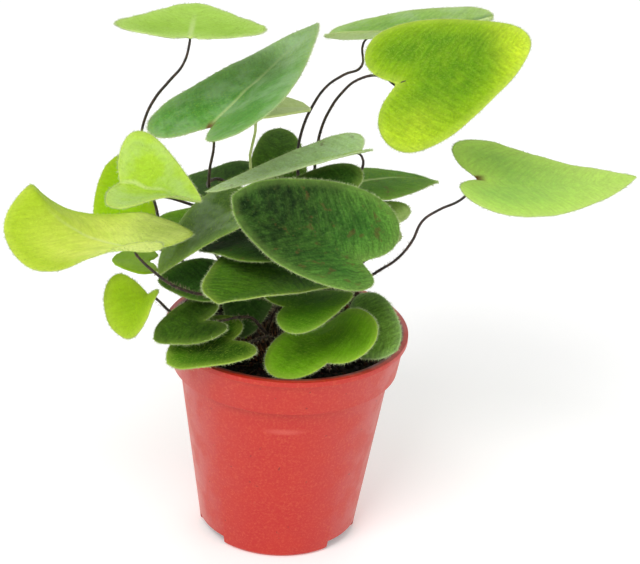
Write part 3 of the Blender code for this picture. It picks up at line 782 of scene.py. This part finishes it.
def hold_outline(mesh, path, tip_crease):
    """Moves the margin's points out, so that the smoothed margin passes through their places."""
    shape = opened(mesh)
    sharp = {path[0], path[-1]}
    moves = {}
    for vertex in shape.verts:
        sides = [edge.other_vert(vertex).co for edge in vertex.link_edges if edge.is_boundary]
        if len(sides) == 2 and vertex.index not in sharp:
            moves[vertex] = (2.0 * vertex.co - sides[0] - sides[1]) / 6.0
    for vertex, move in moves.items():
        vertex.co += move
    crease = shape.verts.layers.float.new("crease_vert")
    shape.verts[path[0]][crease] = 1.0
    shape.verts[path[-1]][crease] = tip_crease
    shape.to_mesh(mesh)
    shape.free()


def vectors_of(collection, key):
    """The vectors of a mesh's points or point normals as an array."""
    values = np.empty(len(collection) * 3)
    collection.foreach_get(key, values)
    return values.reshape(-1, 3)


def leaf_facts(mesh, path):
    """For each point: how far along the midrib, beside it and inside the margin it lies, in mm,
    then the midrib's length and the place beside it with a sign for the side."""
    places = vectors_of(mesh.vertices, "co")
    rib = places[path]
    steps = rib[1:] - rib[:-1]
    lengths = np.linalg.norm(steps, axis=1)
    starts = np.concatenate(([0.0], np.cumsum(lengths)[:-1]))
    offsets = places[:, None, :] - rib[None, :-1, :]
    parts = np.clip((offsets * steps).sum(2) / lengths**2, 0.0, 1.0)
    gaps = np.linalg.norm(offsets - parts[:, :, None] * steps, axis=2)
    best = gaps.argmin(1)
    rows = np.arange(len(places))
    along = starts[best] + parts[rows, best] * lengths[best]
    behind = (offsets[:, 0] @ steps[0]) / lengths[0]
    spine = gaps[rows, best]
    in_lobe = (best == 0) & (behind < 0.0)
    along[in_lobe] = behind[in_lobe]
    spine[in_lobe] = np.sqrt(np.maximum(spine[in_lobe]**2 - behind[in_lobe]**2, 0.0))
    across = np.cross(vectors_of(mesh.vertex_normals, "vector").mean(0), steps[best])
    side = np.sign((offsets[rows, best] * across).sum(1)) * spine
    shape = opened(mesh)
    margin = [vertex.index for vertex in shape.verts if vertex.is_boundary]
    shape.free()
    tree = search_tree([(index, places[index]) for index in margin])
    inward = np.array([tree.find(place)[2] for place in places])
    return along / MM, spine / MM, inward / MM, lengths.sum() / MM, side / MM


def write_fact(mesh, name, values):
    """Stores a value for each point, for the material to read."""
    layer = mesh.attributes.new(name, "FLOAT", "POINT")
    layer.data.foreach_set("value", np.asarray(values, dtype=np.float32))


def vein_flow(along, spine):
    """Where the side vein through each point leaves the midrib, forwards and arching, in mm."""
    return along - VEIN_LEAN * spine - VEIN_ARCH * spine**2


def vein_lines(along, spine, pitch):
    """How close each point is to a side vein."""
    phase = vein_flow(along, spine) / pitch
    away = np.abs(phase - np.round(phase)) * pitch
    return np.exp(-((away / VEIN_WIDTH) ** 2)) * np.clip(spine / VEIN_START, 0.0, 1.0)


def relief(mesh, leaf, along, spine, inward, length):
    """Sinks the midrib and the side veins, and lets the margin wave a little."""
    places = vectors_of(mesh.vertices, "co")
    normals = vectors_of(mesh.vertex_normals, "vector")
    fade = np.clip(1.0 - along / length, 0.0, 1.0)
    groove = leaf.groove * np.exp(-((spine / GROOVE_WIDTH) ** 2)) * fade
    groove *= np.clip(along + GROOVE_START, 0.0, 1.0)
    veins = vein_lines(along, spine, leaf.vein_pitch / MM)
    lumps = np.array([noise.noise(Vector(place) / LUMP_PITCH) for place in places])
    wave = np.array([noise.noise(Vector(place) / WAVE_PITCH + WAVE_SHIFT) for place in places])
    near_edge = np.clip(1.0 - inward / WAVE_BAND, 0.0, 1.0) ** 2
    lift = LUMP_HEIGHT * lumps + leaf.waves * wave * near_edge
    lift -= groove + leaf.quilting * veins
    places += normals * lift[:, None]
    mesh.vertices.foreach_set("co", places.reshape(-1))
    mesh.update()
    return veins


def leaf_hairs(name, mesh, middle, leaf, template, fringe_hair, nap_hair, draw):
    """A fringe of hairs along the margin, and a nap that lies outwards on both faces."""
    shape = opened(mesh)
    width = leaf.hair_width
    fringe = []
    nap = []
    for edge in (edge for edge in shape.edges if edge.is_boundary):
        one, two = edge.verts
        face = edge.link_faces[0]
        out = ((one.co + two.co) / 2.0 - face.calc_center_median()).normalized()
        wanted = (one.co - two.co).length / leaf.fringe
        for _ in range(int(wanted) + (draw.random() < wanted % 1.0)):
            root = one.co.lerp(two.co, draw.random()) - out * FRINGE_ROOT * MM
            length = leaf.hair * draw.uniform(0.4, 1.2)
            fringe.append(hair_place(root, out, length, width, draw, 0.45))
    for face in shape.faces:
        wanted = face.calc_area() / MM**2 * leaf.nap
        corners = [vertex.co for vertex in face.verts]
        for _ in range(int(wanted) + (draw.random() < wanted % 1.0)):
            root = corners[0].lerp(corners[1], draw.random()).lerp(
                corners[2].lerp(corners[-1], draw.random()), draw.random())
            side = 1.0 if draw.random() < NAP_ABOVE else -1.0
            outward = (root - middle).normalized()
            root = root + side * face.normal * leaf.thickness * NAP_ROOT
            length = leaf.hair * draw.uniform(0.5, 1.1)
            way = outward + NAP_RISE * side * face.normal
            nap.append(hair_place(root, way, length, width * NAP_SLIM, draw, 0.25))
    shape.free()
    return (
        planted(f"fringe_{name}", template, fringe, fringe_hair),
        planted(f"nap_{name}", template, nap, nap_hair))


def make_blade(name, leaf, stalk_end, template, fringe_hair, nap_hair):
    """One blade: smoothed, veined, given its thickness, its colours and its hairs."""
    piece = cad_copy(f"blade_{name}", f"leaf_{name}")
    start = middle_surface(piece, stalk_end)
    mesh = piece.data
    path = midrib_path(mesh, start)
    edit_whole(
        piece, bpy.ops.mesh.tris_convert_to_quads, face_threshold=math.pi, shape_threshold=math.pi)
    hold_outline(mesh, path, 0.0 if name in ROUND_TIPS else POINTED_CREASE)
    reach = (mesh.vertices[path[-1]].co - mesh.vertices[path[0]].co).length
    detail = leaf.detail - (reach < leaf.large)
    middle = (mesh.vertices[path[-1]].co + mesh.vertices[path[0]].co) / 2.0
    apply_modifier(piece, "SUBSURF", levels=detail, render_levels=detail)
    mesh = piece.data
    along, spine, inward, length, side = leaf_facts(mesh, path)
    veins = relief(mesh, leaf, along, spine, inward, length)
    for fact, values in (
        ("along", along / length), ("spine", spine), ("inward", inward), ("vein", veins),
        ("flow", vein_flow(along, spine)), ("side", side)
    ):
        write_fact(mesh, fact, values)
    draw = random.Random(name)
    fuzz = leaf_hairs(name, mesh, middle, leaf, template, fringe_hair, nap_hair, draw)
    bulk = piece.vertex_groups.new(name="bulk")
    weights = leaf.margin + (1.0 - leaf.margin) * np.clip(inward / THIN_BAND, 0.0, 1.0)
    for index, weight in enumerate(weights):
        bulk.add([index], float(weight), "REPLACE")
    count = len(mesh.vertices)
    apply_modifier(
        piece, "SOLIDIFY", thickness=leaf.thickness, offset=0.0, vertex_group="bulk",
        use_quality_normals=True)
    mesh = piece.data
    write_fact(mesh, "under", (np.arange(len(mesh.vertices)) >= count).astype(float))
    mesh.materials.append(leaf_tissue(name, TINTS[name]))
    bpy.ops.object.shade_smooth()
    join(piece, *fuzz)
    slot = next(
        entry["material_slot"] for entry in frame["record"]["subparts"]
        if entry["node"] == f"blade_{name}")
    settle(piece, slot, f"blade_{name}")
    return piece


def rib_start(piece):
    """Where the blade's notch is, just under its face, and the midrib's direction there."""
    mesh = piece.data
    facts = {}
    for name in ("along", "spine", "under"):
        facts[name] = np.zeros(len(mesh.vertices))
        mesh.attributes[name].data.foreach_get("value", facts[name])
    places = vectors_of(mesh.vertices, "co")
    leaf = (facts["under"] > 0.5) & (facts["spine"] < RIB_STRIP)
    order = np.argsort(np.where(leaf, np.abs(facts["along"]), np.inf))
    notch = Vector(places[order[0]])
    ahead = np.argsort(np.where(leaf, np.abs(facts["along"] - RIB_AHEAD), np.inf))
    return notch, (Vector(places[ahead[0]]) - notch).normalized()


# Stalks

def centre_line(item):
    """The middles of a stalk's rings of points, from its foot up."""
    mesh = item.data
    links = {vertex.index: set() for vertex in mesh.vertices}
    for edge in mesh.edges:
        one, two = edge.vertices
        links[one].add(two)
        links[two].add(one)
    low = min(vertex.co.z for vertex in mesh.vertices)
    ring = {vertex.index for vertex in mesh.vertices if vertex.co.z < low + WELD}
    seen = set(ring)
    line = []
    while ring:
        middle = sum((mesh.vertices[index].co for index in ring), Vector()) / len(ring)
        line.append(middle)
        ring = {other for index in ring for other in links[index]} - seen
        seen |= ring
    return line


def bristle_places(line, wire, draw):
    """Where the bristles grow. Low down they are longer, wider and closer together."""
    places = []
    for start, end in zip(line, line[1:]):
        way = (end - start).normalized()
        shag = wire.shag if start.z < wire.shag_height else 1.0
        wanted = (end - start).length / MM * wire.bristles * shag**2
        for _ in range(int(wanted)):
            out = way.cross(any_way(draw)).normalized()
            root = start.lerp(end, draw.random()) + out * wire.radius * 0.8
            length = wire.bristle * draw.uniform(0.4, 1.1) * shag
            width = wire.bristle_width * shag
            places.append(hair_place(root, out + way * 0.4, length, width, draw))
    return places


def make_stalk(name, line, notch, along, wire, template, bark, bristle):
    """One stalk: a smooth wire through its line that runs on under the midrib, with bristles."""
    deselect()
    curve = bpy.data.curves.new(f"wire_{name}", "CURVE")
    curve.dimensions = "3D"
    curve.bevel_depth = wire.radius
    curve.bevel_resolution = 2
    curve.resolution_u = 5
    curve.use_fill_caps = True
    draw = random.Random(name)
    points = line + [notch + along * 0.25 * wire.tip, notch + along * wire.tip]
    spline = curve.splines.new("BEZIER")
    spline.bezier_points.add(len(points) - 1)
    for index, (target, place) in enumerate(zip(spline.bezier_points, points)):
        target.co = place
        target.handle_left_type = "AUTO"
        target.handle_right_type = "AUTO"
        target.radius = (WIRE_FOOT - WIRE_LOSS * index / len(points)) * draw.uniform(*WIRE_UNEVEN)
    spline.bezier_points[-2].radius = WIRE_NOTCH
    spline.bezier_points[-1].radius = WIRE_END
    activate(new_object(f"wire_{name}", curve))
    bpy.ops.object.convert(target="MESH")
    item = bpy.context.object
    item.name = f"wire_{name}"
    item.data.materials.append(bark)
    bpy.ops.object.shade_smooth()
    places = bristle_places(line[1:], wire, draw)
    join(item, planted(f"bristles_{name}", template, places, bristle))
    settle(item, "stalk", f"stalk_{name}")


class FERN_OT_blades(bpy.types.Operator):
    """Make every stalk and blade"""

    bl_idname = "fern.blades"
    bl_label = "Stalks and blades"

    def execute(self, context):
        leaf = context.scene.fern_leaf
        wire = context.scene.fern_stalk
        template = spike()
        fringe = plain_hair("margin hair, pale green", "#C6D69A")
        naps = {
            True: plain_hair("nap of a deep green leaf", "#365A1C"),
            False: plain_hair("nap of a light green leaf", "#9CC22E"),
        }
        bark = stalk_bark()
        bristle = plain_hair("stalk bristle, pale brown", "#A8977A")
        for name in TINTS:
            guide = cad_copy(f"stalk_{name}", f"guide_{name}")
            line = centre_line(guide)
            bpy.data.objects.remove(guide)
            piece = make_blade(name, leaf, line[-1], template, fringe, naps[name in DEEP])
            notch, along = rib_start(piece)
            make_stalk(name, line, notch, along, wire, template, bark, bristle)
        return {"FINISHED"}


class FERN_OT_young_fronds(bpy.types.Operator):
    """Make the two young fronds, each one green piece"""

    bl_idname = "fern.young_fronds"
    bl_label = "Young fronds"

    def execute(self, context):
        for name, tints in YOUNG_TINTS.items():
            piece = cad_copy(f"frond_{name}", f"young_frond_{name}")
            apply_modifier(piece, "REMESH", mode="VOXEL", voxel_size=0.2 * MM)
            apply_modifier(piece, "SMOOTH", iterations=4)
            piece.data.materials.append(young_leaf(name, tints))
            bpy.ops.object.shade_smooth()
            settle(piece, "leaf_bright", f"frond_{name}")
        return {"FINISHED"}


class FERN_OT_pot(bpy.types.Operator):
    """Make the moulded pot"""

    bl_idname = "fern.pot"
    bl_label = "Pot"

    def execute(self, context):
        pot = context.scene.fern_pot
        radius = pot.foot - pot.foot_round
        item = added(
            bpy.ops.mesh.primitive_circle_add, "nursery_pot", vertices=pot.sides, radius=radius,
            fill_type="NGON")
        lip_foot = pot.height - pot.lip_height
        steps = (
            (pot.foot, pot.foot_round),
            (pot.wall_top, lip_foot - pot.step),
            (pot.lip_foot, lip_foot),
            (pot.lip_top, pot.height - pot.rim_height),
            (pot.rim_radius, pot.height - pot.rim_height),
            (pot.rim_radius, pot.height),
            (pot.lip_top - pot.wall, pot.height),
            (pot.lip_foot - pot.wall, lip_foot + pot.wall),
            (pot.wall_top - pot.wall, lip_foot - pot.step + pot.wall),
            (pot.foot - pot.wall, pot.floor),
        )
        bpy.ops.object.mode_set(mode="EDIT")
        bpy.ops.mesh.select_all(action="SELECT")
        height = 0.0
        for wanted, level in steps:
            bpy.ops.mesh.extrude_region_move(
                TRANSFORM_OT_translate={"value": (0.0, 0.0, level - height)})
            factor = wanted / radius
            bpy.ops.transform.resize(
                value=(factor, factor, 1.0), center_override=(0.0, 0.0, level))
            radius = wanted
            height = level
        edit_whole(item, bpy.ops.mesh.normals_make_consistent)
        for angle in NOTCH_ANGLES:
            turn = math.radians(angle)
            cutter = added(
                bpy.ops.mesh.primitive_cube_add, "notch", size=1.0,
                location=polar(pot.foot, turn, 0.0), rotation=(0.0, 0.0, turn))
            cutter.scale = pot.notch_size
            apply_modifier(item, "BOOLEAN", operation="DIFFERENCE", object=cutter)
            bpy.data.objects.remove(cutter)
        apply_modifier(
            item, "BEVEL", width=pot.edge, segments=3, limit_method="ANGLE",
            angle_limit=math.radians(35.0))
        activate(item)
        bpy.ops.object.shade_smooth_by_angle(angle=math.radians(40.0))
        item.data.materials.append(pot_plastic())
        settle(item, "pot_plastic", "pot")
        return {"FINISHED"}


class FERN_OT_soil(bpy.types.Operator):
    """Make the soil with its crumbs and fibres"""

    bl_idname = "fern.soil"
    bl_label = "Soil"

    def execute(self, context):
        soil = context.scene.fern_soil
        item = cad_copy("soil", "potting_soil")
        apply_modifier(item, "SUBSURF", levels=2, render_levels=2, subdivision_type="SIMPLE")
        mesh = item.data
        wall = max(point.co.x for point in mesh.vertices)
        for point in mesh.vertices:
            place = point.co
            inside = 1.0 - math.hypot(place.x, place.y) / wall
            if place.z > SOIL_TOP and inside > SOIL_EDGE:
                fine = noise.noise(place / (1.6 * MM)) + 0.5 * noise.noise(place / (0.7 * MM))
                point.co.z += soil.relief * fine
        mesh.update()
        mesh.materials.append(soil_peat("moist peat", "#0F0B09", "#33211A"))
        bpy.ops.object.shade_smooth()
        self.scatter(item, soil)
        settle(item, "soil", "soil")
        return {"FINISHED"}

    def ground_point(self, ground, draw, reach):
        """A random place on the soil's top, within reach of its middle, or none beside it."""
        radius = reach * math.sqrt(draw.random())
        above = polar(radius, draw.uniform(0.0, 2.0 * math.pi), ABOVE_SOIL)
        return ground.ray_cast(above, Vector((0.0, 0.0, -1.0)))[0]

    def scatter(self, item, soil):
        """Lays crumbs of peat and bark, and root threads, on the soil's top."""
        draw = random.Random(SOIL_SEED)
        shape = opened(item.data)
        ground = BVHTree.FromBMesh(shape)
        shape.free()
        crumb = template_of(added(bpy.ops.mesh.primitive_ico_sphere_add, "crumb", subdivisions=1))
        heaps = {"peat": [], "bark": []}
        for _ in range(soil.crumbs):
            hit = self.ground_point(ground, draw, CRUMB_REACH)
            if hit is None:
                continue
            width = draw.uniform(0.25, 0.9) * MM * (LARGE if draw.random() < LARGE_SHARE else 1.0)
            stretch = [width * draw.uniform(0.55, 1.2) for _ in range(3)]
            turned = Matrix.Rotation(draw.uniform(0.0, 6.3), 4, any_way(draw).normalized())
            place = Matrix.Translation(hit + Vector((0, 0, 0.2 * width))) @ turned
            kind = "peat" if draw.random() < PEAT_SHARE else "bark"
            heaps[kind].append(place @ Matrix.Diagonal((*stretch, 1.0)))
        threads = []
        for _ in range(soil.fibres):
            hit = self.ground_point(ground, draw, THREAD_REACH)
            flat = Vector((draw.gauss(0.0, 1.0), draw.gauss(0.0, 1.0), 0.1)).normalized()
            length = draw.uniform(2.0, 4.5) * MM
            root = hit + Vector((0, 0, 0.3 * MM))
            threads.append(hair_place(root, flat, length, THREAD_WIDTH, draw, 0.1))
        peat = soil_peat("peat crumb", "#15100D", "#2E1F18")
        bark = soil_peat("bark crumb", "#3A1C12", "#6A3420")
        tan = plain_hair("root thread, tan", "#6E4C34")
        join(
            item, planted("peat_crumbs", crumb, heaps["peat"], peat),
            planted("bark_crumbs", crumb, heaps["bark"], bark),
            planted("root_threads", spike(5), threads, tan))


class FERN_OT_rhizome(bpy.types.Operator):
    """Make the scaly rhizome"""

    bl_idname = "fern.rhizome"
    bl_label = "Rhizome"

    def execute(self, context):
        low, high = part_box("rhizome")
        middle = (low + high) / 2.0
        radii = (high - low) / 2.0
        item = added(
            bpy.ops.mesh.primitive_uv_sphere_add, "rhizome_knob", segments=96, ring_count=48)
        for point in item.data.vertices:
            way = Vector(point.co)
            lumps = noise.noise(way * 3.0) * 0.05 + noise.noise(way * 9.0) * 0.03
            share = 0.94 + lumps
            point.co = middle + Vector([way[axis] * radii[axis] * share for axis in range(3)])
        item.data.materials.append(soil_peat("scaly rhizome, brown", "#2A1A12", "#5B3A26"))
        bpy.ops.object.shade_smooth()
        draw = random.Random(SCALE_SEED)
        places = []
        for index in range(SCALES):
            height = 1.0 - draw.random()
            way = polar(math.sqrt(1.0 - height * height), index * GOLDEN_ANGLE, height)
            root = middle + Vector([way[axis] * radii[axis] * 0.93 for axis in range(3)])
            width = draw.uniform(0.12, 0.26) * MM
            lean = way + Vector((0.0, 0.0, 0.8))
            length = draw.uniform(0.9, 1.6) * MM
            places.append(hair_place(root, lean, length, width, draw, 0.35))
        russet = plain_hair("rhizome scale, russet", "#8A5A38")
        join(item, planted("rhizome_scales", spike(4), places, russet))
        settle(item, "rhizome", "rhizome")
        return {"FINISHED"}


class FERN_OT_studio(bpy.types.Operator):
    """Set up the floor, the light and the camera"""

    bl_idname = "fern.studio"
    bl_label = "Studio"

    def execute(self, context):
        studio = context.scene.fern_studio
        floor = added(bpy.ops.mesh.primitive_plane_add, "studio_floor", size=FLOOR_SIZE)
        floor.data.materials.append(studio_board(studio))
        world = bpy.data.worlds.new("soft studio")
        world.use_nodes = True
        back = world.node_tree.nodes["Background"]
        back.inputs["Color"].default_value = (1.0, 1.0, 1.0, 1.0)
        back.inputs["Strength"].default_value = studio.light
        context.scene.world = world
        context.scene.view_settings.view_transform = "Standard"
        for name in LAMPS:
            self.lamp(name, *LAMPS[name])
        self.camera(context)
        return {"FINISHED"}

    def lamp(self, name, place, side, power):
        """A square soft box aimed at the plant."""
        lamp = added(bpy.ops.object.light_add, name, type="AREA", location=place)
        lamp.data.shape = "SQUARE"
        lamp.data.size = side
        lamp.data.energy = power
        aim = Vector(CAMERA_TARGET) - Vector(place)
        lamp.rotation_euler = aim.to_track_quat("-Z", "Y").to_euler()

    def camera(self, context):
        """The photograph's camera: a long lens a little above the plant, rolled slightly."""
        camera = added(bpy.ops.object.camera_add, "photo_camera")
        tilt = Matrix.Rotation(math.radians(90.0 - CAMERA_RISE), 4, "X")
        roll = Matrix.Rotation(math.radians(CAMERA_ROLL), 4, "Z")
        back = Matrix.Translation((0.0, 0.0, CAMERA_DISTANCE))
        camera.matrix_world = Matrix.Translation(CAMERA_TARGET) @ tilt @ roll @ back
        camera.data.sensor_fit = "HORIZONTAL"
        camera.data.sensor_width = SENSOR
        camera.data.lens = FOCAL_PIXELS / IMAGE_WIDTH * SENSOR
        camera.data.clip_start = 0.01
        context.scene.camera = camera


class VIEW3D_PT_heart_fern(bpy.types.Panel):
    """The fern's pieces and their settings"""

    bl_label = "Heart Fern"
    bl_space_type = "VIEW_3D"
    bl_region_type = "UI"
    bl_category = "Heart Fern"

    def draw(self, context):
        for operator in OPERATORS:
            self.layout.operator(operator.bl_idname)
        for name, group in SETTINGS.items():
            box = self.layout.box()
            for key in group.__annotations__:
                box.prop(getattr(context.scene, name), key)


OPERATORS = (
    FERN_OT_pot,
    FERN_OT_soil,
    FERN_OT_rhizome,
    FERN_OT_blades,
    FERN_OT_young_fronds,
    FERN_OT_studio,
)
SETTINGS = {
    "fern_pot": PotSettings,
    "fern_leaf": LeafSettings,
    "fern_stalk": StalkSettings,
    "fern_soil": SoilSettings,
    "fern_studio": StudioSettings,
}
CLASSES = (*SETTINGS.values(), *OPERATORS, VIEW3D_PT_heart_fern)


def register():
    """Registers the settings, the operators and the panel."""
    for kind in CLASSES:
        bpy.utils.register_class(kind)
    for name, group in SETTINGS.items():
        setattr(bpy.types.Scene, name, bpy.props.PointerProperty(type=group))


def unregister():
    """Takes away what register added."""
    for name in SETTINGS:
        delattr(bpy.types.Scene, name)
    for kind in reversed(CLASSES):
        bpy.utils.unregister_class(kind)


def main():
    """Makes the whole plant."""
    register()
    for operator in OPERATORS:
        getattr(bpy.ops.fern, operator.bl_idname.split(".")[1])()
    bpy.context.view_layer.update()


if __name__ == "__main__":
    main()
